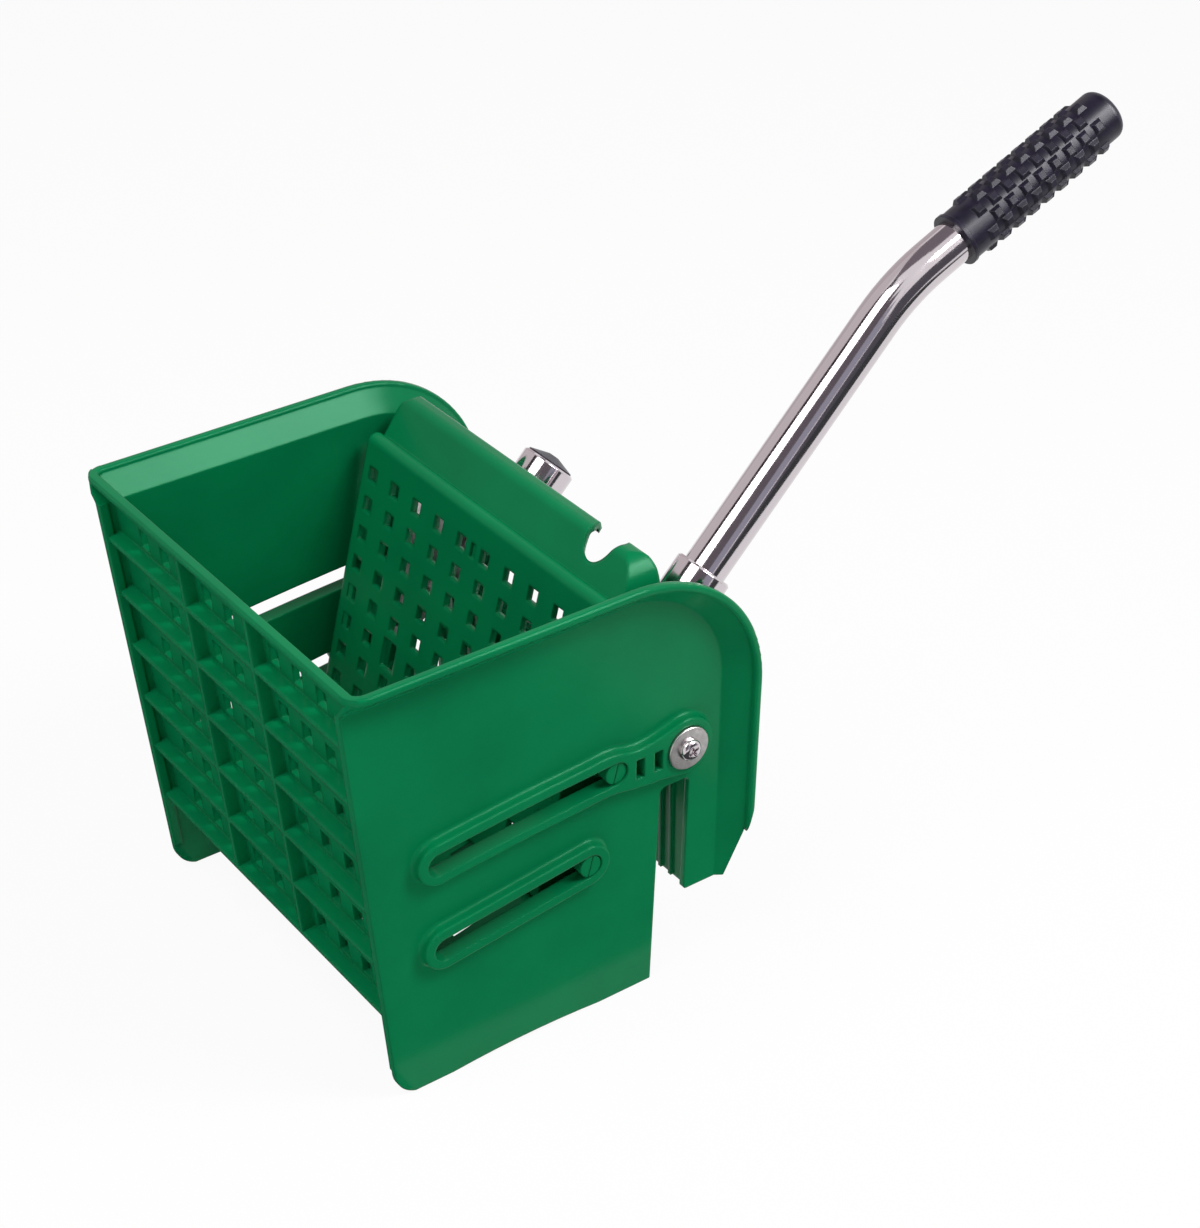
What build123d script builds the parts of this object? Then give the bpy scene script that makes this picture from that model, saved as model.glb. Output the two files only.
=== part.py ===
"""Down-press mop wringer: housing, guided press plate, toggle links and a lever with a bent handle.

Millimetres, +Z up, -Y front, X across. While it is built, Y = 0 is the front of the rim, Z = 0 is the
floor and X = 0 is the middle plane. Everything moves to the middle of its own box at the end.
"""
import os
from math import atan2, cos, hypot, radians, sin, tan

from build123d import *

# Housing sizes
rim_height = 268.4
rim_half_width = 138.0
flare_width = 13.5
wall_thickness = 3.5
wall_edge = 5.0
wall_draft = 0.67
draft_height = 149.6
front_lean = 4.92
foot_radius = 18.0
foot_pad = 24.0
foot_arch = 2.0
flare_height = 14.8
flare_rear_depth = 18.5
rear_lean = 4.0
lip_height = 4.6
lip_width = 5.5
lip_round = 1.7
rim_corner_radius = 84.5
rim_corner_y = 166.2
crease_corner_radius = 65.0
front_corner_radius = 11.0
corner_clear = 0.25

# Bucket notch and rear legs
notch_front_low = 187.7
notch_front_high = 192.6
notch_rear_high = 211.9
notch_rear_low = 209.9
notch_top = 129.3
leg_bottom = 52.6
leg_rear = 235.6
leg_slant_y = 10.9
leg_slant_z = 38.0
panel_thickness = 4.0
panel_top = 126.0
ridge_pitch = 9.0
ridge_width = 2.5
ridge_height = 1.5

# Front grid wall
grid_rows = 6
grid_bottom = 54.2
grid_pitch = 35.25
grid_rib = 3.3
grid_recess = 1.3
grid_depth = 7.9
grid_plate = 3.8
grid_upright = 35.1
grid_hole = 9.6
grid_hole_height = 11.2
grid_hole_rise = 2.4
grid_hole_pitch = 22.85

# Floor of the basket
floor_thickness = 5.0
floor_gap = 6.0
floor_rear = 185.0
floor_slot_length = 22.0
floor_slot_width = 7.0

# Guide slots, pivot boss and their raised rims
slot_rise = 6.0
slot_rim = 5.6
slot_clearance = 0.6
boss_radius = 17.5
rim_base_fillet = 2.5
rim_edge_fillet = 1.2
window_width = 5.4
window_height = 12.4

# Mechanism at rest
pivot_y = 205.6
pivot_z = 154.6
lever_swing = 50.0
lower_pin_y = 143.1
lower_pin_z = 103.2
upper_pin_y = 159.7
upper_pin_z = 156.5
press_travel = 91.5
press_slope = 7.2
crank_pin_y = 201.2
crank_pin_z = 227.4
lug_pin_y = 174.6
lug_pin_z = 135.6
link_turn = -0.616

# Press plate and hood
plate_clearance = 12.5
plate_thickness = 3.5
plate_top_y = 163.4
plate_top_z = 246.5
plate_bottom_z = 79.7
plate_lean = 14.6
plate_hole = 8.5
plate_hole_pitch_x = 22.6
plate_hole_pitch_z = 18.35
plate_hole_first = 18.5
plate_hole_rows = 8
plate_hole_margin = 2.0
plate_window_width = 13.0
plate_window_height = 18.0
hood_round_left = 7.0
hood_round_right = 19.0
hood_notch_offset = 7.7
hood_notch_radius = 12.0
hood_notch_depth = 18.0
hood_notch_flare = 6.0
hood_notch_lip = 4.0
flange_thickness = 4.0
ear_thickness = 4.5
ear_gap = 0.7
ear_clearance = 2.3
flange_depth = 26.0

# Pins, shaft and fasteners
guide_pin_diameter = 13.0
guide_collar_diameter = 18.0
guide_collar = 4.5
guide_head_diameter = 17.0
guide_head = 1.8
running_clearance = 0.06
shaft_diameter = 12.0
shaft_bore = 6.0
washer_diameter = 25.5
washer_thickness = 2.0
screw_head_diameter = 13.0
screw_head_height = 4.0
screw_length = 18.0
link_pin_diameter = 8.0
link_pin_head = 14.0
clip_thickness = 1.2
clip_diameter = 14.0

# Lever
socket_inset = 25.2
plug_socket_inset = 20.6
socket_diameter = 33.0
socket_body = 29.0
socket_collar = 42.0
socket_chamfer = 1.2
socket_bore = 25.3
socket_reach = 82.5
socket_offset = 2.6
socket_floor = 22.0
lever_lean = 44.9
hub_diameter = 25.0
hub_wall = 1.5
bush_length = 20.0
crank_thickness = 4.0
crank_hub_radius = 18.0
crank_end_radius = 9.5
link_thickness = 4.0
link_gap = 0.5
link_end_radius = 9.0
handle_diameter = 25.0
handle_wall = 1.0
handle_bend = 266.6
handle_bend_radius = 120.0
handle_upper_lean = 65.7
grip_start = 42.4
grip_length = 118.5
grip_diameter = 30.4
grip_end = 6.0
grip_lip = 0.8
grip_lip_length = 2.4
grip_rows = 12
grip_columns = 8
grip_stud = 6.6
grip_stud_height = 1.9
grip_stud_slope = 33.0
grip_stud_pitch = 11.15
grip_stud_first = 15.6
grip_stud_step = 7.05
grip_row_angle = -0.7
plug_depth = 14.0
plug_dome = 4.4
plug_radius = 14.4
plug_tip = 3.0


# Widths across the wringer, from the rim inwards to the hub
wall_half_width = rim_half_width - flare_width
plate_half_width = wall_half_width - plate_clearance
flange_in = plate_half_width - flange_thickness
ear_out = flange_in - ear_clearance
ear_in = ear_out - ear_thickness
link_out = ear_in - ear_gap
link_in = link_out - link_thickness
hub_half_length = link_in - link_gap
socket_x = hub_half_length - socket_inset
plug_socket_x = hub_half_length - plug_socket_inset
hood_notch_x = socket_x + hood_notch_offset


# Flat shapes are drawn with local x along +Y and local y along +Z, then given a depth along X
def slab(sketch, x0, x1):
    return extrude(Plane.YZ.offset(x0) * sketch, amount=x1 - x0)


def pair(solid):
    return Compound([solid, mirror(solid, about=Plane.YZ)])


def rounded(points, radii):
    corners = []
    for i, point in enumerate(points):
        here = Vector(*point)
        back = (Vector(*points[i - 1]) - here).normalized()
        ahead = (Vector(*points[(i + 1) % len(points)]) - here).normalized()
        half = radians(back.get_angle(ahead)) / 2
        cut = radii[i] / tan(half)
        middle = here + (back + ahead).normalized() * (radii[i] / sin(half) - radii[i])
        corners.append((here + back * cut, middle, here + ahead * cut))
    edges = []
    for i, (start, middle, end) in enumerate(corners):
        if radii[i] > 0:
            edges.append(ThreePointArc(start, middle, end))
        edges.append(Line(end, corners[(i + 1) % len(corners)][0]))
    return make_face(edges)


def polygon(*points):
    return make_face(Polyline(*points, close=True))


def band(path, radius):
    shape = trace(path, 2 * radius)
    return shape + Pos(path @ 0) * Circle(radius) + Pos(path @ 1) * Circle(radius)


def disc(y, z, radius, x0, x1):
    return slab(Pos(y, z) * Circle(radius), x0, x1)


def turned(y, z, about_y, about_z, angle):
    dy = y - about_y
    dz = z - about_z
    c = cos(radians(angle))
    s = sin(radians(angle))
    return about_y + dy * c - dz * s, about_z + dy * s + dz * c


# Where a point of the press plate is when the lever has made a share of its swing
plate_turn = plate_lean + front_lean


def on_plate(y, z, share):
    moved_y, moved_z = turned(y, z, lower_pin_y, lower_pin_z, plate_turn * share)
    step = press_travel * share
    return moved_y - step * cos(radians(press_slope)), moved_z - step * sin(radians(press_slope))


def front_edge(z):
    return (rim_height - lip_height - z) * tan(radians(front_lean))


def plate_face(z):
    return plate_top_y - (plate_top_z - z) * tan(radians(plate_lean))


# Side wall with its flare, drawn upright and then leaned by the draft
crease_height = rim_height - flare_height
rim_rear = rim_corner_y + rim_corner_radius
draft_out = (rim_height - draft_height) * tan(radians(wall_draft))
flare_reach = flare_width - draft_out


def rim_outline(rear, top, radius, lean):
    below = -60
    rear_top = rear + lean * radius / (top - below)
    rear_low = rear_top - lean
    return rounded([(below, below), (below, top), (rear_top, top), (rear_low, below)], [0, 0, radius, 0])


crease_rear = rim_rear - flare_rear_depth
below_flare = loft(
    [
        Plane.YZ.offset(wall_half_width) * rim_outline(crease_rear, crease_height, crease_corner_radius, 2),
        Plane.YZ.offset(wall_half_width + flare_reach)
        * rim_outline(rim_rear, rim_height, rim_corner_radius, rear_lean),
    ],
    ruled=True,
)
wall = Pos(-wall_thickness, 0, 0) * below_flare - below_flare
lip_x = wall_half_width + flare_reach
lip_middle = lip_height / 2
lip_start = (front_corner_radius, rim_height - lip_middle)
lip_corner = (rim_rear + rear_lean * rim_corner_radius / rim_height - lip_middle, rim_height - lip_middle)
lip_path = Plane.YZ.offset(lip_x - lip_width / 2) * FilletPolyline(
    lip_start,
    lip_corner,
    (lip_corner[0] - rear_lean, 0),
    radius=rim_corner_radius - lip_middle,
)
lip_section = RectangleRounded(lip_width, lip_height, lip_round)
wall += sweep(Plane(origin=lip_path @ 0, x_dir=(1, 0, 0), z_dir=lip_path % 0) * lip_section, path=lip_path)

# Silhouette of the wall: leaning front, arched foot, bucket notch, rear leg with its slanted cut
slant_end = rim_rear + 10
silhouette = rounded(
    [
        (0, rim_height + 20),
        (0, rim_height - lip_height),
        (front_edge(-1), -1),
        (notch_front_low, -1),
        (notch_front_high, notch_top),
        (notch_rear_high, notch_top),
        (notch_rear_low, leg_bottom),
        (leg_rear, leg_bottom),
        (slant_end, leg_bottom + (slant_end - leg_rear) * leg_slant_z / leg_slant_y),
        (slant_end, rim_height + 20),
    ],
    [0, 0, foot_radius, 2, 4, 3, 2, 1, 0, 0],
)
arch_start = front_edge(0) + foot_pad
arch_end = notch_front_low - foot_pad
arch_line = ThreePointArc((arch_start, -1), ((arch_start + arch_end) / 2, foot_arch), (arch_end, -1))
silhouette -= make_face([arch_line, Line((arch_end, -1), (arch_start, -1))])
wall &= slab(silhouette, 0, rim_half_width + 20)

# The wall is thicker along its front edge
grid_front = grid_recess + grid_depth
edge_strip = polygon(
    (front_edge(crease_height), crease_height),
    (front_edge(foot_radius), foot_radius),
    (front_edge(foot_radius) + wall_edge, foot_radius),
    (front_edge(crease_height) + wall_edge, crease_height),
)
wall += slab(edge_strip, wall_half_width - wall_edge, wall_half_width - 1)

# Raised rims round the guide slots and the pivot boss
rim_face = wall_half_width + slot_rise
slot_radius = guide_pin_diameter / 2 + slot_clearance
lower_path = Line((lower_pin_y, lower_pin_z), on_plate(lower_pin_y, lower_pin_z, 1))
upper_path = ThreePointArc(
    (upper_pin_y, upper_pin_z),
    on_plate(upper_pin_y, upper_pin_z, 0.5),
    on_plate(upper_pin_y, upper_pin_z, 1),
)
neck_span = pivot_y - upper_pin_y
rim_radius = slot_radius + slot_rim


def rim_side(share, side):
    ahead = upper_path % share
    return upper_path @ share + Vector(ahead.Y, -ahead.X) * (side * rim_radius)


def boss_point(angle):
    return Vector(pivot_y + boss_radius * cos(radians(angle)), pivot_z + boss_radius * sin(radians(angle)))


def boss_heading(angle):
    return Vector(sin(radians(angle)), -cos(radians(angle)))


slot_heading = upper_path % 1
rim_top = Spline(
    rim_side(1, 1),
    rim_side(0.7, 1),
    rim_side(0.4, 1),
    rim_side(0.15, 1),
    (upper_pin_y + 0.01 * neck_span, upper_pin_z + 12.2),
    (upper_pin_y + 0.26 * neck_span, upper_pin_z + 9.6),
    (upper_pin_y + 0.52 * neck_span, upper_pin_z + 10.4),
    boss_point(108),
    tangents=(slot_heading * -1, boss_heading(108)),
)
rim_bottom = Spline(
    boss_point(255),
    (upper_pin_y + 0.52 * neck_span, upper_pin_z - 16.4),
    (upper_pin_y + 0.24 * neck_span, upper_pin_z - 14.9),
    rim_side(0.03, -1),
    rim_side(0.15, -1),
    rim_side(0.4, -1),
    rim_side(0.7, -1),
    rim_side(1, -1),
    tangents=(boss_heading(255), slot_heading),
)
upper_rim = make_face(
    [
        rim_top,
        ThreePointArc(boss_point(108), boss_point(0), boss_point(255)),
        rim_bottom,
        ThreePointArc(rim_side(1, -1), upper_path @ 1 + slot_heading * rim_radius, rim_side(1, 1)),
    ]
)
lower_rim = band(lower_path, rim_radius)
for rim in (upper_rim, lower_rim):
    wall += slab(rim, wall_half_width - 1, rim_face)
through = (wall_half_width - wall_thickness - 5, rim_face + 5)
rim_marks = [e @ 0.5 for rim in (upper_rim, lower_rim) for e in rim.edges()]
base_marks = [Vector(wall_half_width, mark.X, mark.Y) for mark in rim_marks]
base_edges = [e for e in wall.edges() if min((e @ 0.5 - mark).length for mark in base_marks) < 0.05]
wall = fillet(base_edges, rim_base_fillet)
top_marks = [Vector(rim_face, mark.X, mark.Y) for mark in rim_marks]
top_edges = [e for e in wall.edges() if min((e @ 0.5 - mark).length for mark in top_marks) < 0.05]
wall = fillet(top_edges, rim_edge_fillet)
wall -= slab(band(upper_path, slot_radius), *through)
wall -= slab(band(lower_path, slot_radius), *through)
for middle in (0.33, 0.59):
    window = Pos(upper_pin_y + middle * neck_span, upper_pin_z - 2.8) * Rectangle(window_width, window_height)
    wall -= slab(window, *through)
lean_axis = Axis((wall_half_width, 0, draft_height), (0, 1, 0))
wall = wall.rotate(lean_axis, wall_draft)
seat_x = rim_face - 0.2
wall -= Pos(wall_half_width, rim_rear / 2, -10) * Box(60, 2 * rim_rear, 20)
wall -= disc(pivot_y, pivot_z, shaft_diameter / 2 + running_clearance, *through)
wall -= disc(pivot_y, pivot_z, washer_diameter / 2 + 0.5, seat_x, rim_face + 5)
below_flare = below_flare.rotate(lean_axis, wall_draft)

# Front wall: recessed plate behind a grid of ribs, with a row of drain holes above each rib
front = Plane(
    origin=(0, front_edge(0), 0),
    x_dir=(1, 0, 0),
    z_dir=(0, -cos(radians(front_lean)), -sin(radians(front_lean))),
)
up = 1 / cos(radians(front_lean))
inner_half = wall_half_width - wall_thickness / 2


def front_block(x, z, width, height, d0, d1):
    face = Pos(x, (z + height / 2) * up) * Rectangle(width, height * up)
    return extrude(front.offset(-d1) * face, amount=d1 - d0)


grid_back = grid_front + grid_plate
front_low = front_edge(crease_height) + grid_front * up
front_high = 0.8
above_front = polygon(
    (front_low + 2, crease_height),
    (front_high + 2, rim_height),
    (front_low + 60, rim_height),
    (front_low + 60, crease_height),
)
front_wall = front_block(0, grid_bottom, 2 * inner_half, crease_height - grid_bottom, grid_front, grid_back)
for row in range(grid_rows):
    height = grid_bottom + row * grid_pitch
    front_wall += front_block(0, height, 2 * inner_half, grid_rib, grid_recess, grid_front + 1)
for side in (-1, 1):
    tall = rim_height - lip_height - grid_bottom
    upright = front_block(side * grid_upright, grid_bottom, grid_rib, tall, grid_recess, grid_front + 1)
    front_wall += upright - slab(above_front, -rim_half_width, rim_half_width)
holes = []
hole_columns = int((inner_half - grid_rib - grid_hole) // grid_hole_pitch)
for row in range(grid_rows):
    height = grid_bottom + row * grid_pitch + grid_rib + grid_hole_rise
    for column in range(-hole_columns, hole_columns + 1):
        x = column * grid_hole_pitch
        holes.append(front_block(x, height, grid_hole, grid_hole_height, grid_front - 1, grid_back + 1))
front_wall -= holes

# Front flare and its lip, trimmed by the side flares
flare_thickness = grid_plate * up
front_flare = polygon(
    (front_low, crease_height - 0.5),
    (front_high, rim_height),
    (front_high + flare_thickness + 0.8, rim_height),
    (front_low + flare_thickness, crease_height - 0.5),
)
front_rim = slab(front_flare, 0.5 - lip_x, lip_x - 0.5)
front_rim -= [below_flare, mirror(below_flare, about=Plane.YZ)]

# Floor follows the lower edge of the press plate, and drains through slots
plate_foot = (plate_face(plate_bottom_z), plate_bottom_z)
plate_foot_end = on_plate(*plate_foot, 1)
floor_slope = atan2(plate_foot[1] - plate_foot_end[1], plate_foot[0] - plate_foot_end[0])


def floor_top(y):
    return plate_foot[1] - floor_gap / cos(floor_slope) + (y - plate_foot[0]) * tan(floor_slope)


floor_front = front_edge(grid_bottom) + grid_front
floor = slab(
    polygon(
        (floor_front, floor_top(floor_front)),
        (floor_rear, floor_top(floor_rear)),
        (floor_rear, floor_top(floor_rear) - 16),
        (floor_rear - floor_thickness, floor_top(floor_rear) - 16),
        (floor_rear - floor_thickness, floor_top(floor_rear - floor_thickness) - floor_thickness),
        (floor_front, floor_top(floor_front) - floor_thickness),
    ),
    -inner_half,
    inner_half,
)
drains = []
for row in range(4):
    y = floor_front + 30 + row * (floor_slot_length + 10)
    for column in range(-4, 5):
        hole = Rectangle(floor_slot_width, floor_slot_length)
        drains.append(Pos(column * grid_hole_pitch, y, 0) * extrude(hole, amount=rim_height / 2))
floor -= drains

# Rear cross panel with upright ridges on the face towards the bucket
panel_front = notch_rear_high + ridge_height
rear_panel = Pos(0, panel_front + panel_thickness / 2, (leg_bottom + panel_top) / 2) * Box(
    2 * inner_half, panel_thickness, panel_top - leg_bottom
)
ridge_count = int(inner_half // ridge_pitch) - 1
for column in range(-ridge_count, ridge_count + 1):
    rear_panel += Pos(column * ridge_pitch, panel_front, (leg_bottom + panel_top) / 2) * Box(
        ridge_width, 2 * ridge_height, panel_top - leg_bottom
    )

housing = wall + mirror(wall, about=Plane.YZ) + front_wall + front_rim + floor + rear_panel
corner_x = rim_half_width - front_corner_radius
corner_cut = Pos(corner_x + 10, front_corner_radius / 2 - 5, rim_height - 5) * Box(
    20, front_corner_radius + 10, 2 * flare_height
)
corner_cut -= Pos(corner_x, front_corner_radius, rim_height) * Cylinder(front_corner_radius - corner_clear, 80)
housing -= [corner_cut, mirror(corner_cut, about=Plane.YZ)]
housing += slab(Pos(lip_width / 2, rim_height - lip_middle) * lip_section, -corner_x, corner_x)
corner_section = Pos(rim_half_width - lip_width / 2, rim_height - lip_middle) * lip_section
corner_lip = revolve(
    Plane.XZ.offset(-front_corner_radius) * corner_section,
    Axis((corner_x, front_corner_radius, 0), (0, 0, -1)),
    90,
)
housing += [corner_lip, mirror(corner_lip, about=Plane.YZ)]

# Press plate: holed face, rounded shoulder, hood, side flanges with the guide bosses, ears for the links
groove = (plate_top_y + 10.7, plate_top_z - 3.4)
hood_top = (plate_top_y + 25.6, plate_top_z + 17.1)
hood_rear = (plate_top_y + 34.2, plate_top_z + 15.0)
hood_lip = (hood_rear[0] + 1.2, hood_rear[1] - 4.5)
foot_y = plate_face(plate_bottom_z)
inset = plate_thickness / 2 / cos(radians(plate_lean))
face_path = FilletPolyline(
    (foot_y + inset, plate_bottom_z),
    (plate_top_y + inset + 1.6, plate_top_z + 6.2),
    (groove[0] - 1, groove[1] - 1.5),
    hood_top,
    hood_rear,
    hood_lip,
    radius=(3.5, 1.9, 5, 2.2),
)
section = trace(face_path, plate_thickness)
plate = slab(section, -plate_half_width, plate_half_width)

# The hood is closed at both ends, with rounded top corners, and notched once for the handle's side
cap = rounded(
    [
        (groove[0] - 2, groove[1] - 12),
        (groove[0] - 2, groove[1]),
        hood_top,
        hood_rear,
        (hood_lip[0] + plate_thickness / 2, hood_lip[1]),
        (hood_lip[0] + plate_thickness / 2, groove[1] - 12),
    ],
    [0, 0, 3, 1, 1, 0],
)
hood_span = (groove[0] - 2, hood_rear[0] + 20)
hood_roof = hood_top[1] + plate_thickness / 2
hood_foot = groove[1] - 12


def hood_outline(inset):
    half = plate_half_width - inset
    roof = hood_roof - inset
    return rounded(
        [(-half, hood_foot), (-half, roof), (half, roof), (half, hood_foot)],
        [0, hood_round_left - inset, hood_round_right - inset, 0],
    )


def through_hood(shape, start):
    return extrude(Plane.XZ.offset(-start) * shape, amount=start - hood_span[1])


hood_end = hood_outline(0) - hood_outline(flange_thickness)
plate += through_hood(hood_end, hood_span[0]) & slab(cap, -plate_half_width, plate_half_width)
beyond = polygon(
    (-plate_half_width - 9, hood_foot),
    (-plate_half_width - 9, hood_roof + 9),
    (plate_half_width + 9, hood_roof + 9),
    (plate_half_width + 9, hood_foot),
)
plate -= through_hood(beyond - hood_outline(0), groove[0] + 2)
notch_y = hood_rear[0] - hood_notch_depth + hood_notch_radius
notch = Pos(hood_notch_x, notch_y) * Circle(hood_notch_radius)
notch += polygon(
    (hood_notch_x - hood_notch_radius, notch_y),
    (hood_notch_x + hood_notch_radius, notch_y),
    (hood_notch_x + hood_notch_radius - hood_notch_lip, hood_rear[0] + 10),
    (hood_notch_x - hood_notch_radius - hood_notch_flare, hood_rear[0] + 4),
)
plate -= Pos(0, 0, groove[1]) * extrude(notch, amount=60)

# Local frame of the face: up the face, then backwards from it
face_up = (sin(radians(plate_lean)), cos(radians(plate_lean)))
face_back = (cos(radians(plate_lean)), -sin(radians(plate_lean)))


def on_face(rise, depth):
    return (
        foot_y + rise * face_up[0] + depth * face_back[0],
        plate_bottom_z + rise * face_up[1] + depth * face_back[1],
    )


face_length = (plate_top_z - plate_bottom_z) / cos(radians(plate_lean))
face_plane = Plane(
    origin=(0, plate_top_y, plate_top_z),
    x_dir=(1, 0, 0),
    z_dir=(0, -face_back[0], -face_back[1]),
)


def face_hole(x, drop, width, height):
    hole = Pos(x, -drop) * Rectangle(width, height)
    return extrude(face_plane.offset(-3 * plate_thickness) * hole, amount=6 * plate_thickness)


openings = []
hole_room = 2 * (flange_in - plate_hole_margin) - plate_hole
plate_hole_columns = int(hole_room // plate_hole_pitch_x) + 1
for row in range(plate_hole_rows):
    drop = plate_hole_first + row * plate_hole_pitch_z
    for column in range(plate_hole_columns):
        x = (column - (plate_hole_columns - 1) / 2) * plate_hole_pitch_x
        openings.append(face_hole(x, drop, plate_hole, plate_hole))
openings.append(face_hole(0, plate_hole_first, plate_hole / 2, plate_hole))
for side in (-1, 1):
    x = side * 2.5 * plate_hole_pitch_x
    drop = plate_hole_first + 5 * plate_hole_pitch_z
    openings.append(face_hole(x, drop, plate_window_width, plate_window_height))
plate -= openings

pin_boss = guide_pin_diameter / 2 + 4
upper_rise = (upper_pin_y - foot_y) * face_up[0] + (upper_pin_z - plate_bottom_z) * face_up[1]
flange = polygon(
    on_face(0, 0.5),
    on_face(0, 8),
    on_face(16, flange_depth),
    on_face(upper_rise + 8, flange_depth),
    on_face(upper_rise + 34, flange_depth / 2),
    on_face(face_length, 10),
    on_face(face_length, 0.5),
)
flange += Pos(lower_pin_y, lower_pin_z) * Circle(pin_boss)
flange += Pos(upper_pin_y, upper_pin_z) * Circle(pin_boss)
ear_boss = link_pin_diameter / 2 + 5
lug_rise = (lug_pin_y - foot_y) * face_up[0] + (lug_pin_z - plate_bottom_z) * face_up[1]
ear_root_low = on_face(lug_rise - 18, 0.5)
ear_root_high = on_face(lug_rise + 18, 0.5)
ear = make_hull(
    [
        *(Pos(lug_pin_y, lug_pin_z) * Circle(ear_boss)).edges(),
        *polygon(ear_root_low, ear_root_high, on_face(lug_rise, 8)).edges(),
    ]
)
for side in (-1, 1):
    plate += slab(flange, *sorted((side * flange_in, side * plate_half_width)))
    plate += slab(ear, *sorted((side * ear_in, side * ear_out)))
for rise in (0.5, 0.5 * face_length + 15, face_length - 9):
    stiffener = polygon(on_face(rise, 1), on_face(rise, 12), on_face(rise + 3, 12), on_face(rise + 3, 1))
    plate += slab(stiffener, -flange_in - 1, flange_in + 1)
rib_columns = plate_hole_columns // 2 - 1
for column in range(-rib_columns, rib_columns + 1):
    high = face_length - 8
    stiffener = polygon(on_face(0.5, 1), on_face(0.5, 9), on_face(high, 9), on_face(high, 1))
    middle = column * plate_hole_pitch_x
    plate += slab(stiffener, middle - 1, middle + 1)
for side in (-1, 1):
    reach = sorted((side * (ear_in - 1), side * (plate_half_width + 1)))
    across = (side * flange_in - 6, side * flange_in + 8)
    plate -= disc(lower_pin_y, lower_pin_z, guide_pin_diameter / 2 + running_clearance, *across)
    plate -= disc(upper_pin_y, upper_pin_z, guide_pin_diameter / 2, *across)
    plate -= disc(lug_pin_y, lug_pin_z, link_pin_diameter / 2, *reach)


# Guide pin: head inside the flange, collar outside it, split end in the wall's slot
def guide_pin(y, z):
    radius = guide_pin_diameter / 2
    end = rim_face - 1
    pin = disc(y, z, radius, flange_in - 0.1 - guide_head, end)
    pin += disc(y, z, guide_head_diameter / 2, flange_in - 0.1 - guide_head, flange_in - 0.1)
    collar_in = plate_half_width + 0.1
    pin += disc(y, z, guide_collar_diameter / 2, collar_in, collar_in + guide_collar)
    split = Pos(y, z, 0) * Rot(0, 0, 75) * Rectangle(guide_pin_diameter + 2, 0.6)
    return pin - slab(split, end - 1.2, end + 1)


lower_guide_pins = pair(guide_pin(lower_pin_y, lower_pin_z))
upper_guide_pins = pair(guide_pin(upper_pin_y, upper_pin_z))

# Pivot shaft, spacers, washers and screws
shaft_end = seat_x - 0.4
pivot_shaft = disc(pivot_y, pivot_z, shaft_diameter / 2, -shaft_end, shaft_end)
pivot_shaft -= disc(pivot_y, pivot_z, shaft_bore / 2, -shaft_end, shaft_end)
spacer_in = hub_half_length + 0.3
spacer_out = wall_half_width - wall_thickness - 0.2
spacer = disc(pivot_y, pivot_z, 9, spacer_in, spacer_out)
spacer -= disc(pivot_y, pivot_z, shaft_diameter / 2 + running_clearance, spacer_in, spacer_out)
shaft_spacers = pair(spacer)
washer_out = seat_x + washer_thickness
washer = disc(pivot_y, pivot_z, washer_diameter / 2, seat_x, washer_out)
washer -= disc(pivot_y, pivot_z, shaft_bore / 2, seat_x, washer_out)
pivot_washers = pair(chamfer(washer.edges().group_by(Axis.X)[-1], 0.4))
screw = disc(pivot_y, pivot_z, screw_head_diameter / 2, washer_out, washer_out + screw_head_height)
screw = fillet(screw.edges().group_by(Axis.X)[-1], screw_head_height - 0.6)
screw += disc(pivot_y, pivot_z, shaft_bore / 2, washer_out - screw_length, washer_out)
cross = Rectangle(6.4, 1.5) + Rectangle(1.5, 6.4)
screw -= slab(Pos(pivot_y, pivot_z) * Rot(0, 0, 25) * cross, washer_out + 1.4, washer_out + 10)
pivot_screws = pair(screw)

# Hub tube and the bushes pressed into its ends
hub_bore = hub_diameter / 2 - hub_wall
hub_tube = disc(pivot_y, pivot_z, hub_diameter / 2, -hub_half_length, hub_half_length)
hub_tube -= disc(pivot_y, pivot_z, hub_bore, -hub_half_length, hub_half_length)
bush = disc(pivot_y, pivot_z, hub_bore, hub_half_length - bush_length, hub_half_length)
bush -= disc(pivot_y, pivot_z, shaft_diameter / 2 + running_clearance, 0, 2 * hub_half_length)
hub_bushes = pair(bush)

# Lever axis: along it from the pivot, with a small step towards the front
along = (sin(radians(lever_lean)), cos(radians(lever_lean)))
ahead = (-cos(radians(lever_lean)), sin(radians(lever_lean)))


def on_lever(distance):
    return (
        pivot_y + distance * along[0] + socket_offset * ahead[0],
        pivot_z + distance * along[1] + socket_offset * ahead[1],
    )


def lever_plane(x, distance):
    y, z = on_lever(distance)
    return Plane(origin=(x, y, z), x_dir=(1, 0, 0), z_dir=(0, along[0], along[1]))


def lever_round(x, radius, d0, d1):
    return extrude(lever_plane(x, d0) * Circle(radius), amount=d1 - d0)


def socket(x):
    cup = lever_round(x, socket_body / 2, 4, socket_collar)
    cup += lever_round(x, socket_diameter / 2, socket_collar, socket_reach)
    cup -= lever_round(x, socket_bore / 2, socket_floor, socket_reach + 1)
    cup -= lever_round(x, socket_bore / 2 - 1, 0, socket_floor - 3)
    cup -= disc(pivot_y, pivot_z, hub_diameter / 2, -hub_half_length, hub_half_length)
    mouth = cup.edges().group_by(Axis((x, *on_lever(0)), (0, *along)))[-1]
    return chamfer([max(mouth, key=lambda edge: edge.radius)], socket_chamfer)


left_socket = socket(-plug_socket_x)
right_socket = socket(socket_x)

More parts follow.
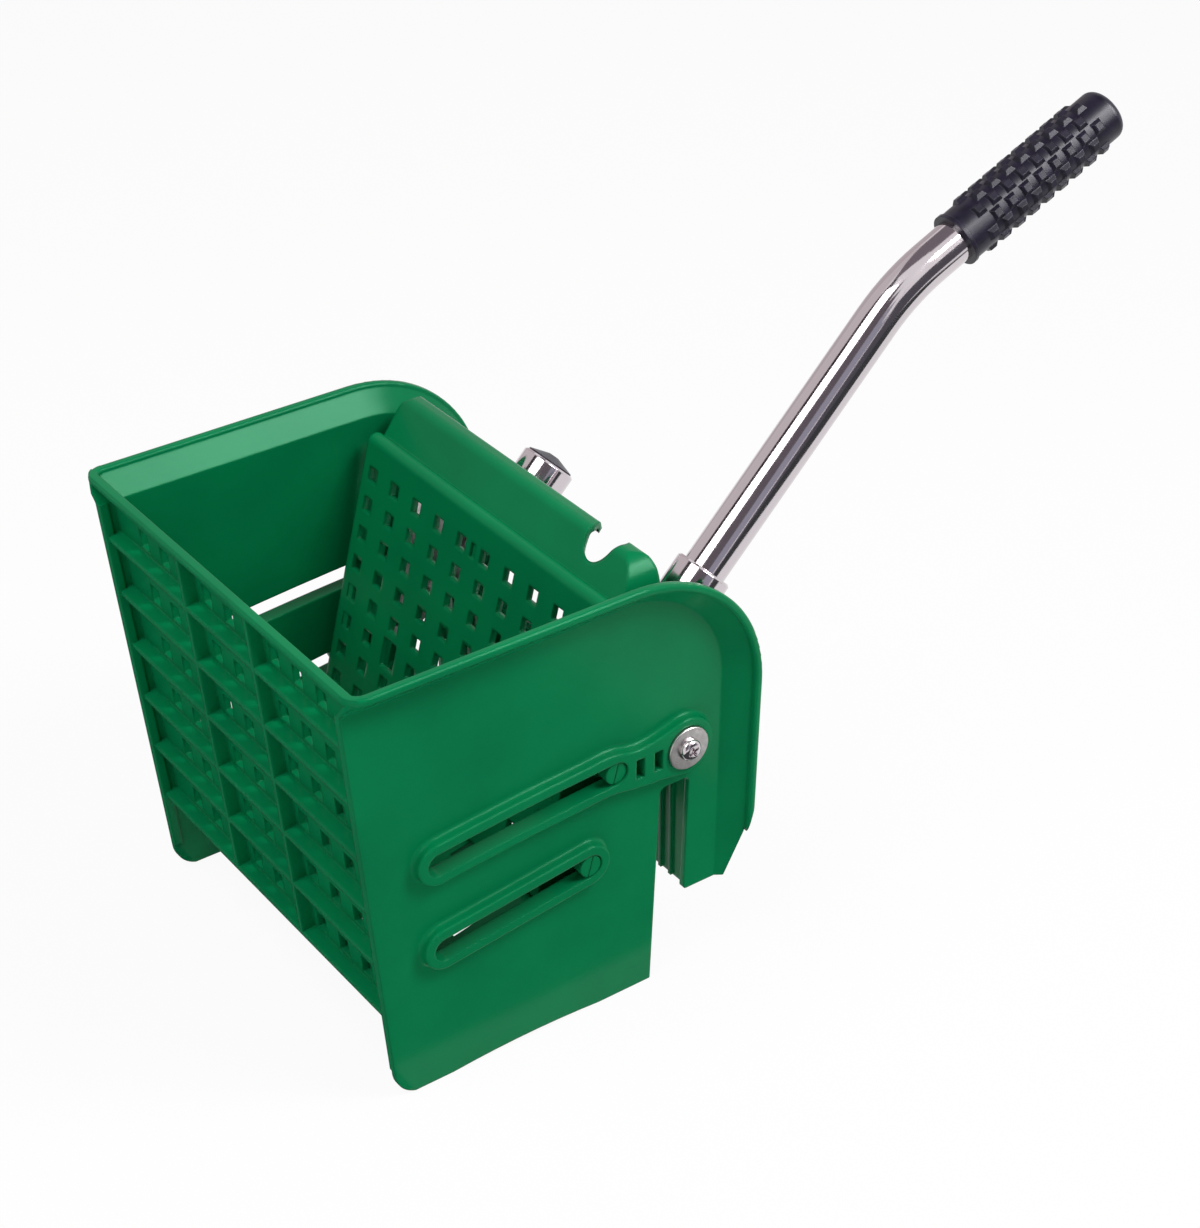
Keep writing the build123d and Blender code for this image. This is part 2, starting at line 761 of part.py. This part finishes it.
# Plug with a shallow cone for a head in the left socket
plug_head = revolve(
    Plane.XZ * polygon((0, 0), (plug_radius, 0), (plug_radius, 0.8), (plug_tip, plug_dome), (0, plug_dome)),
    Axis.Z,
)
plug_head = fillet(plug_head.edges().group_by(Axis.Z)[-1], 1.0)
socket_plug = lever_plane(-plug_socket_x, socket_reach) * plug_head
socket_plug += lever_round(-plug_socket_x, socket_bore / 2, socket_reach - plug_depth, socket_reach)

# Bent handle tube and the studded grip on its end
bend = on_lever(handle_bend)
upper = (sin(radians(handle_upper_lean)), cos(radians(handle_upper_lean)))


def on_upper(distance):
    return bend[0] + distance * upper[0], bend[1] + distance * upper[1]


tube_start = on_lever(socket_floor + 1)
tube_end = on_upper(grip_start + grip_length - grip_end)
tube_path = Plane.YZ.offset(socket_x) * FilletPolyline(tube_start, bend, tube_end, radius=handle_bend_radius)
tube_mouth = lever_plane(socket_x, socket_floor + 1)
handle_tube = sweep(tube_mouth * Circle(handle_diameter / 2), path=tube_path)
handle_tube -= sweep(tube_mouth * Circle(handle_diameter / 2 - handle_wall), path=tube_path)

grip_origin = on_upper(grip_start)
grip_plane = Plane(origin=(socket_x, *grip_origin), x_dir=(1, 0, 0), z_dir=(0, *upper))
grip_body = extrude(Circle(grip_diameter / 2), amount=grip_length)
grip_body = fillet(grip_body.edges().group_by(Axis.Z)[-1], 5)
grip_body += extrude(Circle(grip_diameter / 2 + grip_lip), amount=grip_lip_length)
stud_sink = 0.6
stud_base = grip_stud + 2 * stud_sink * tan(radians(grip_stud_slope))
stud_plane = Plane(origin=(grip_diameter / 2 - stud_sink, 0, 0), x_dir=(0, 1, 0), z_dir=(1, 0, 0))
stud = extrude(
    stud_plane * Rectangle(stud_base, stud_base),
    amount=grip_stud_height + stud_sink,
    taper=grip_stud_slope,
)
studs = []
for row in range(grip_rows):
    first = grip_stud_first + grip_stud_step * (row % 2)
    for column in range(grip_columns):
        place = Pos(0, 0, first + column * grip_stud_pitch)
        studs.append(Rot(0, 0, grip_row_angle + row * 360 / grip_rows) * place * stud)
grip_body += studs
grip_body -= extrude(Circle(handle_diameter / 2), amount=grip_length - grip_end)
handle_grip = grip_plane * grip_body

# Crank plates on the hub, links and their pins
crank_in = hub_half_length - crank_thickness
crank_shape = make_hull(
    [
        *(Pos(pivot_y, pivot_z) * Circle(crank_hub_radius)).edges(),
        *(Pos(crank_pin_y, crank_pin_z) * Circle(crank_end_radius)).edges(),
    ]
)
right_crank = slab(crank_shape, crank_in, hub_half_length)
right_crank -= disc(pivot_y, pivot_z, hub_diameter / 2, crank_in, hub_half_length)
right_crank -= disc(crank_pin_y, crank_pin_z, link_pin_diameter / 2, crank_in, hub_half_length)
left_crank = mirror(right_crank, about=Plane.YZ)

# The lug pin's path as the link sees it gives the link's long eye
eye_points = []
for step in range(11):
    share = step / 10
    lug = on_plate(lug_pin_y, lug_pin_z, share)
    pin = turned(crank_pin_y, crank_pin_z, pivot_y, pivot_z, lever_swing * share)
    shifted = (lug[0] - pin[0] + crank_pin_y, lug[1] - pin[1] + crank_pin_z)
    eye_points.append(turned(*shifted, crank_pin_y, crank_pin_z, -link_turn * lever_swing * share))
spans = [(hypot(a[0] - b[0], a[1] - b[1]), a, b) for a in eye_points for b in eye_points]
eye_length, eye_a, eye_b = max(spans)
eye_dir = ((eye_b[0] - eye_a[0]) / eye_length, (eye_b[1] - eye_a[1]) / eye_length)
eye_stray = max(abs((p[0] - eye_a[0]) * eye_dir[1] - (p[1] - eye_a[1]) * eye_dir[0]) for p in eye_points)
eye_radius = link_pin_diameter / 2 + 0.35 + eye_stray
eye = band(Line(eye_a, eye_b), eye_radius)
link_shape = make_hull(
    [
        *(Pos(crank_pin_y, crank_pin_z) * Circle(link_end_radius)).edges(),
        *(Pos(eye_a) * Circle(eye_radius + 4.5)).edges(),
        *(Pos(eye_b) * Circle(eye_radius + 4.5)).edges(),
    ]
)
right_link = slab(link_shape, link_in, link_out)
right_link -= slab(eye, link_in - 1, link_out + 1)
link_hole = link_pin_diameter / 2 + running_clearance
right_link -= disc(crank_pin_y, crank_pin_z, link_hole, link_in - 1, link_out + 1)
left_link = mirror(right_link, about=Plane.YZ)

pin_radius = link_pin_diameter / 2
crank_pin = disc(crank_pin_y, crank_pin_z, pin_radius, crank_in - 2.5, link_out + 2.5)
crank_pin += disc(crank_pin_y, crank_pin_z, link_pin_head / 2, crank_in - 2.5, crank_in)
crank_pins = pair(crank_pin)
clip_in = link_out + 0.3
crank_clip = disc(crank_pin_y, crank_pin_z, clip_diameter / 2, clip_in, clip_in + clip_thickness)
crank_clip -= disc(crank_pin_y, crank_pin_z, pin_radius, clip_in, clip_in + clip_thickness)
crank_pin_clips = pair(crank_clip)

lug_pin = disc(lug_pin_y, lug_pin_z, pin_radius, link_in - 3, ear_out + 1.8)
lug_pin += disc(lug_pin_y, lug_pin_z, pin_radius + 2.5, ear_out, ear_out + 1.8)
lug_pins = pair(lug_pin)
lug_clip_in = link_in - 0.3 - clip_thickness
lug_clip = disc(lug_pin_y, lug_pin_z, clip_diameter / 2, lug_clip_in, lug_clip_in + clip_thickness)
lug_clip -= disc(lug_pin_y, lug_pin_z, pin_radius, lug_clip_in, lug_clip_in + clip_thickness)
lug_pin_clips = pair(lug_clip)

# Every piece moves so that the middle of the whole box stands over the origin
nodes = {
    "housing": housing,
    "pivot_shaft": pivot_shaft,
    "shaft_spacers": shaft_spacers,
    "pivot_washers": pivot_washers,
    "pivot_screws": pivot_screws,
    "hub_tube": hub_tube,
    "hub_bushes": hub_bushes,
    "left_socket": left_socket,
    "right_socket": right_socket,
    "socket_plug": socket_plug,
    "left_crank": left_crank,
    "right_crank": right_crank,
    "crank_pins": crank_pins,
    "crank_pin_clips": crank_pin_clips,
    "handle_tube": handle_tube,
    "handle_grip": handle_grip,
    "lower_guide_pins": lower_guide_pins,
    "upper_guide_pins": upper_guide_pins,
    "press_plate": plate,
    "lug_pins": lug_pins,
    "lug_pin_clips": lug_pin_clips,
    "left_link": left_link,
    "right_link": right_link,
}
box_front = housing.bounding_box().min.Y
box_rear = handle_grip.bounding_box().max.Y
shift_y = -(box_front + box_rear) / 2
os.makedirs("parts", exist_ok=True)
for name, solid in nodes.items():
    export_step(Pos(0, shift_y, 0) * solid, f"parts/{name}.step")
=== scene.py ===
# Looks of a mop wringer: a green moulded basket and press plate, a chromed lever and its black grip.
# Every piece keeps its own mesh from the model and gets its finish here, with the light and the camera.

import math

import bpy
from mathutils import Matrix, Vector

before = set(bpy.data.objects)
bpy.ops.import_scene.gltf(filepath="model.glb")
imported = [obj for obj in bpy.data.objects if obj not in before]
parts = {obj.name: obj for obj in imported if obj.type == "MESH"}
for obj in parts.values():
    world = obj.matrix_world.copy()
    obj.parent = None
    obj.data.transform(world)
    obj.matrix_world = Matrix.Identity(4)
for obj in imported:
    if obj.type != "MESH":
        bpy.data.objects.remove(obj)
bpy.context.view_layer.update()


# Housing, press plate and guide pins: polypropylene, injection moulded in one through-dyed green.
# The pins sit in the plate and run in the slots of the side walls.
# The mould leaves a fine spark-eroded grain, so flat faces are satin and rounded edges catch a soft line.
def linear(colour):
    channels = [int(colour[i : i + 2], 16) / 255 for i in (1, 3, 5)]
    return [c / 12.92 if c <= 0.04045 else ((c + 0.055) / 1.055) ** 2.4 for c in channels] + [1]


def add(tree, kind, inputs, **settings):
    node = tree.nodes.new(kind)
    for name, value in settings.items():
        setattr(node, name, value)
    for name, value in inputs.items():
        if isinstance(value, bpy.types.NodeSocket):
            tree.links.new(value, node.inputs[name])
        else:
            node.inputs[name].default_value = value
    return node


def new_finish(name):
    finish = bpy.data.materials.new(name)
    finish.use_nodes = True
    finish.node_tree.nodes.clear()
    return finish, finish.node_tree


def dress(names, finish):
    for name in names:
        parts[name].material_slots[0].material = finish


mm = 0.001
moulded_green = "#057e4c"
moulded_dark = "#047346"
# The dye also tints the moulding's own gloss a little
gloss_tint = "#b4f2d6"
flow_size = 60 * mm
# The real grain is about 0.1 mm; it is drawn coarser so that it shows at all
grain_size = 1.1 * mm
grain_depth = 0.2 * mm
satin_low = 0.17
satin_high = 0.27
# Most of a noise pattern lies between these two values
noise_low = 0.3
noise_high = 0.7
edge_samples = 6
# The basket's corners are tight; the press plate's hood has softer ones
for finish_name, edge_radius, pieces in (
    ("green_polypropylene", 1.7 * mm, ("housing", "lower_guide_pins", "upper_guide_pins")),
    ("green_polypropylene_plate", 2.5 * mm, ("press_plate",)),
):
    polypropylene, tree = new_finish(finish_name)
    place = add(tree, "ShaderNodeTexCoord", {})
    flow = add(
        tree,
        "ShaderNodeTexNoise",
        {"Vector": place.outputs["Object"], "Scale": 1 / flow_size, "Detail": 3},
    )
    tint = add(tree, "ShaderNodeValToRGB", {"Fac": flow.outputs["Fac"]})
    tint.color_ramp.elements[0].color = linear(moulded_dark)
    tint.color_ramp.elements[0].position = 0.2
    tint.color_ramp.elements[1].color = linear(moulded_green)
    tint.color_ramp.elements[1].position = 0.62
    grain = add(
        tree,
        "ShaderNodeTexNoise",
        {"Vector": place.outputs["Object"], "Scale": 1 / grain_size, "Detail": 2},
    )
    satin = add(
        tree,
        "ShaderNodeMapRange",
        {
            "Value": grain.outputs["Fac"],
            "From Min": noise_low,
            "From Max": noise_high,
            "To Min": satin_low,
            "To Max": satin_high,
        },
    )
    rounding = add(tree, "ShaderNodeBevel", {"Radius": edge_radius}, samples=edge_samples)
    relief = add(
        tree,
        "ShaderNodeBump",
        {
            "Height": grain.outputs["Fac"],
            "Normal": rounding.outputs["Normal"],
            "Strength": 0.06,
            "Distance": grain_depth,
        },
    )
    surface = add(
        tree,
        "ShaderNodeBsdfPrincipled",
        {
            "Base Color": tint.outputs["Color"],
            "Roughness": satin.outputs["Result"],
            "IOR": 1.49,
            "Specular IOR Level": 0.12,
            "Specular Tint": linear(gloss_tint),
            "Normal": relief.outputs["Normal"],
        },
    )
    add(tree, "ShaderNodeOutputMaterial", {"Surface": surface.outputs["BSDF"]})
    dress(pieces, polypropylene)


# Lever tube, its two sockets, the hub tube and the pivot screws: metal under bright chrome.
# The sockets are fixed to the hub, and the tube is bent once and pressed into the right one.
# Bright plating is a near mirror with a faint warm tint, and polishing leaves clouds that blur it a little.
chrome_tint = "#cec6ca"
polish_size = 9 * mm
chrome_sharp = 0.07
chrome_cloudy = 0.12
chrome_edge = 0.6 * mm

chrome, tree = new_finish("bright_chrome")
place = add(tree, "ShaderNodeTexCoord", {})
polish = add(
    tree,
    "ShaderNodeTexNoise",
    {"Vector": place.outputs["Object"], "Scale": 1 / polish_size, "Detail": 4},
)
blur = add(
    tree,
    "ShaderNodeMapRange",
    {
        "Value": polish.outputs["Fac"],
        "From Min": noise_low,
        "From Max": noise_high,
        "To Min": chrome_sharp,
        "To Max": chrome_cloudy,
    },
)
rounding = add(tree, "ShaderNodeBevel", {"Radius": chrome_edge}, samples=edge_samples)
surface = add(
    tree,
    "ShaderNodeBsdfPrincipled",
    {
        "Base Color": linear(chrome_tint),
        "Metallic": 1,
        "Roughness": blur.outputs["Result"],
        "Normal": rounding.outputs["Normal"],
    },
)
add(tree, "ShaderNodeOutputMaterial", {"Surface": surface.outputs["BSDF"]})
dress(("handle_tube", "left_socket", "right_socket", "hub_tube", "pivot_screws"), chrome)


# Pivot shaft, washers, cranks, links, pins and clips: mild steel with a bright zinc coat.
# The cranks are fixed to the hub, and the links hang on pins that the clips hold.
# Zinc is paler and duller than chrome, with a faint cloudy grain from the bath.
zinc_tint = "#cbc8c6"
zinc_dull = "#b4b1b0"
cloud_size = 4 * mm
zinc_matt = 0.36
zinc_bright = 0.26
zinc_edge = 0.4 * mm
steel_parts = (
    "pivot_shaft",
    "pivot_washers",
    "left_crank",
    "right_crank",
    "crank_pins",
    "crank_pin_clips",
    "lug_pins",
    "lug_pin_clips",
    "left_link",
    "right_link",
)

zinc, tree = new_finish("zinc_plated_steel")
place = add(tree, "ShaderNodeTexCoord", {})
cloud = add(
    tree,
    "ShaderNodeTexNoise",
    {"Vector": place.outputs["Object"], "Scale": 1 / cloud_size, "Detail": 4},
)
tint = add(tree, "ShaderNodeValToRGB", {"Fac": cloud.outputs["Fac"]})
tint.color_ramp.elements[0].color = linear(zinc_dull)
tint.color_ramp.elements[0].position = 0.3
tint.color_ramp.elements[1].color = linear(zinc_tint)
tint.color_ramp.elements[1].position = 0.65
blur = add(
    tree,
    "ShaderNodeMapRange",
    {
        "Value": cloud.outputs["Fac"],
        "From Min": noise_low,
        "From Max": noise_high,
        "To Min": zinc_matt,
        "To Max": zinc_bright,
    },
)
rounding = add(tree, "ShaderNodeBevel", {"Radius": zinc_edge}, samples=edge_samples)
surface = add(
    tree,
    "ShaderNodeBsdfPrincipled",
    {
        "Base Color": tint.outputs["Color"],
        "Metallic": 1,
        "Roughness": blur.outputs["Result"],
        "Normal": rounding.outputs["Normal"],
    },
)
add(tree, "ShaderNodeOutputMaterial", {"Surface": surface.outputs["BSDF"]})
dress(steel_parts, zinc)


# Hub bushes and shaft spacers: natural nylon, turned from bar and pushed onto the shaft.
# It is an off-white, slightly waxy plastic with fine tool marks.
nylon_tint = "#e4e1d8"
# Real tool marks are a few tenths of a millimetre apart; they are drawn coarser so that they show at all
tool_mark = 5 * mm
# At a scale of 1 the wave pattern turns through 20 radians to a unit of length
wave_turn = 20
mark_depth = 0.05 * mm

nylon, tree = new_finish("natural_nylon")
place = add(tree, "ShaderNodeTexCoord", {})
marks = add(
    tree,
    "ShaderNodeTexWave",
    {"Vector": place.outputs["Object"], "Scale": math.tau / (wave_turn * tool_mark), "Distortion": 0.4},
    bands_direction="X",
)
relief = add(
    tree,
    "ShaderNodeBump",
    {"Height": marks.outputs["Fac"], "Strength": 0.1, "Distance": mark_depth},
)
surface = add(
    tree,
    "ShaderNodeBsdfPrincipled",
    {
        "Base Color": linear(nylon_tint),
        "Roughness": 0.45,
        "IOR": 1.53,
        "Normal": relief.outputs["Normal"],
    },
)
add(tree, "ShaderNodeOutputMaterial", {"Surface": surface.outputs["BSDF"]})
dress(("hub_bushes", "shaft_spacers"), nylon)


# Grip and socket plug: moulded black rubber, pushed onto the lever's end and into the left socket.
# The grip carries rows of square studs.
# The rubber is nearly black, with a broad soft gloss and a fine matt bloom.
rubber_black = "#161322"
rubber_bloom = "#221d30"
bloom_size = 6 * mm
skin_size = 1.0 * mm
skin_depth = 0.2 * mm
rubber_edge = 0.7 * mm

rubber, tree = new_finish("black_rubber")
place = add(tree, "ShaderNodeTexCoord", {})
bloom = add(
    tree,
    "ShaderNodeTexNoise",
    {"Vector": place.outputs["Object"], "Scale": 1 / bloom_size, "Detail": 4},
)
tint = add(tree, "ShaderNodeValToRGB", {"Fac": bloom.outputs["Fac"]})
tint.color_ramp.elements[0].color = linear(rubber_black)
tint.color_ramp.elements[0].position = 0.35
tint.color_ramp.elements[1].color = linear(rubber_bloom)
tint.color_ramp.elements[1].position = 0.7
skin = add(
    tree,
    "ShaderNodeTexNoise",
    {"Vector": place.outputs["Object"], "Scale": 1 / skin_size, "Detail": 2},
)
rounding = add(tree, "ShaderNodeBevel", {"Radius": rubber_edge}, samples=edge_samples)
relief = add(
    tree,
    "ShaderNodeBump",
    {
        "Height": skin.outputs["Fac"],
        "Normal": rounding.outputs["Normal"],
        "Strength": 0.1,
        "Distance": skin_depth,
    },
)
surface = add(
    tree,
    "ShaderNodeBsdfPrincipled",
    {
        "Base Color": tint.outputs["Color"],
        "Roughness": 0.34,
        "IOR": 1.52,
        "Specular IOR Level": 0.25,
        "Normal": relief.outputs["Normal"],
    },
)
add(tree, "ShaderNodeOutputMaterial", {"Surface": surface.outputs["BSDF"]})
dress(("handle_grip", "socket_plug"), rubber)


# Floor: a plain pale sheet under the object.
# The camera and the metal see it nearly white, and it still takes the object's shadow.
def looked_at(tree):
    path = add(tree, "ShaderNodeLightPath", {})
    seen = add(
        tree,
        "ShaderNodeMath",
        {0: path.outputs["Is Camera Ray"], 1: path.outputs["Is Glossy Ray"]},
        operation="MAXIMUM",
    )
    seen = add(
        tree,
        "ShaderNodeMath",
        {0: seen.outputs["Value"], 1: path.outputs["Is Transmission Ray"]},
        operation="MAXIMUM",
    )
    return seen.outputs["Value"]


white = "#ffffff"
floor_tint = "#f2f2f2"
floor_white = 0.93
floor_half = 6.0
floor_drop = 0.5 * mm

sheet, tree = new_finish("pale_floor")
share = add(tree, "ShaderNodeMath", {0: looked_at(tree), 1: floor_white}, operation="MULTIPLY")
paper = add(tree, "ShaderNodeBsdfDiffuse", {"Color": linear(floor_tint)})
glow = add(tree, "ShaderNodeEmission", {"Color": linear(white), "Strength": 1.0})
mixed = add(
    tree,
    "ShaderNodeMixShader",
    {0: share.outputs["Value"], 1: paper.outputs["BSDF"], 2: glow.outputs["Emission"]},
)
add(tree, "ShaderNodeOutputMaterial", {"Surface": mixed.outputs["Shader"]})
bpy.ops.mesh.primitive_plane_add(size=2 * floor_half, location=(0, 0, -floor_drop))
floor = bpy.context.object
floor.name = "floor_sheet"
floor.data.materials.append(sheet)


# Surroundings: a white room for the eye and for reflections.
# Everything else gets an even, much weaker light from it, so that the lamps shape the object.
room_light = 0.24

world = bpy.data.worlds.new("white_room")
bpy.context.scene.world = world
world.use_nodes = True
tree = world.node_tree
tree.nodes.clear()
level = add(
    tree,
    "ShaderNodeMapRange",
    {"Value": looked_at(tree), "To Min": room_light, "To Max": 1.0},
)
air = add(tree, "ShaderNodeBackground", {"Color": linear(white), "Strength": level.outputs["Result"]})
add(tree, "ShaderNodeOutputWorld", {"Surface": air.outputs["Background"]})


# Lamps: soft boxes over the object and in front of it, and a tall narrow one behind it on the right.
# They also show as highlights on rounded edges and as the white band on the chrome.
aim = Vector((0, -0.1, 0.2))


def soft_box(name, spot, width, height, power):
    lamp = bpy.data.lights.new(name, "AREA")
    lamp.shape = "RECTANGLE"
    lamp.size = width
    lamp.size_y = height
    lamp.energy = power
    holder = bpy.data.objects.new(name, lamp)
    holder.location = spot
    holder.rotation_euler = (aim - Vector(spot)).to_track_quat("-Z", "Y").to_euler()
    holder.visible_camera = False
    bpy.context.scene.collection.objects.link(holder)


soft_box("top_box", (0.98, 0.57, 1.75), 0.8, 0.4, 16)
soft_box("strip_box", (1.2, 0.98, 1.46), 0.2, 1.2, 8)
soft_box("front_box", (0.2, -1.15, 1.8), 1.2, 1.2, 20)


# Cards: glowing sheets around the object that only reflections see, painted reflections in place of the
# cards a studio hangs round chrome.
# The lever's dark and pale bands are the cards on its right, on its left and over it.
# Dark ones on the floor paint a dark reflection that keeps the glossy green walls deep, and a bright one
# paints a highlight line along their edges.
def mirror_card(name, spot, width, height, colour, target=aim, strength=1.0):
    reflection_glow, tree = new_finish(name)
    glow = add(tree, "ShaderNodeEmission", {"Color": linear(colour), "Strength": strength})
    add(tree, "ShaderNodeOutputMaterial", {"Surface": glow.outputs["Emission"]})
    bpy.ops.mesh.primitive_plane_add(size=1, location=spot)
    card = bpy.context.object
    card.name = name
    card.scale = (width, height, 1)
    card.rotation_euler = (target - Vector(spot)).to_track_quat("Z", "Y").to_euler()
    card.data.materials.append(reflection_glow)
    card.visible_camera = False
    card.visible_diffuse = False
    card.visible_shadow = False
    card.visible_transmission = False


# Dark grey glow, seen only in reflections: the painted dark bands on the chrome.
dark_reflection_glow = "#6e686e"
floor_reflection_shade = "#45484a"
floor_gap = 3 * mm
up = Vector((0, 0, 1))

mirror_card("front_dark_card", (1.29, -1.28, 1.71), 0.8, 2.2, dark_reflection_glow)
mirror_card("side_dark_card", (1.9, -1.2, 1.1), 1.1, 2.6, dark_reflection_glow)
mirror_card("grey_card", (1.9, -0.33, 0.75), 0.66, 1.5, "#a6a6b5")
mirror_card("bright_card", (1.8, -0.1, 1.1), 0.2, 1.3, white)
mirror_card("rear_dark_card", (1.9, 0.9, 0.55), 1.9, 1.4, "#5c5a62")
# Dark sheets just over the floor, seen only in reflections: painted dark reflections where the camera sees a
# white floor.
for name, x, y, width, height in (
    ("floor_card", 1.5, 0.45, 1.75, 0.9),
    ("side_floor_card", 0.38, -0.11, 0.476, 0.34),
    ("front_floor_card", -0.45, -0.77, 1.3, 1.06),
):
    floor_spot = Vector((x, y, floor_gap))
    mirror_card(name, floor_spot, width, height, floor_reflection_shade, target=floor_spot + up)
# A bright glow seen only in reflections: the painted highlight line along the green rims and rounded edges.
mirror_card("rim_card", (1.2, 0.98, 1.46), 0.9, 0.9, white, strength=15)
mirror_card("edge_card", (-0.55, -1.25, 1.67), 0.5, 2.0, "#3a363a")
mirror_card("left_card", (-1.62, -0.9, 1.33), 2.8, 2.6, "#e0dadb")
mirror_card("left_rear_card", (-1.9, 0.7, 0.7), 1.9, 1.8, "#d0c8ca")
mirror_card("ceiling_card", (-0.45, 0.36, 2.07), 1.5, 1.6, "#827a80")


# Camera: a short telephoto lens from the front right, looking down on the basket.
# Its place and turn are fitted to the straight edges of the housing; the focal length is in pixels.
photo_width = 1200
focal_length = 2625.5
camera_spot = (1.01965, -0.76376, 0.95998)
azimuth = math.radians(54.204)
elevation = math.radians(32.587)
roll = math.radians(-0.223)

lens = bpy.data.cameras.new("camera")
lens.sensor_fit = "HORIZONTAL"
lens.sensor_width = 36
lens.lens = lens.sensor_width * focal_length / photo_width
camera = bpy.data.objects.new("camera", lens)
turn = Matrix.Rotation(azimuth, 4, "Z") @ Matrix.Rotation(math.pi / 2 - elevation, 4, "X")
camera.matrix_world = Matrix.Translation(camera_spot) @ turn @ Matrix.Rotation(roll, 4, "Z")
bpy.context.scene.collection.objects.link(camera)
bpy.context.scene.camera = camera
bpy.context.scene.view_settings.view_transform = "Standard"
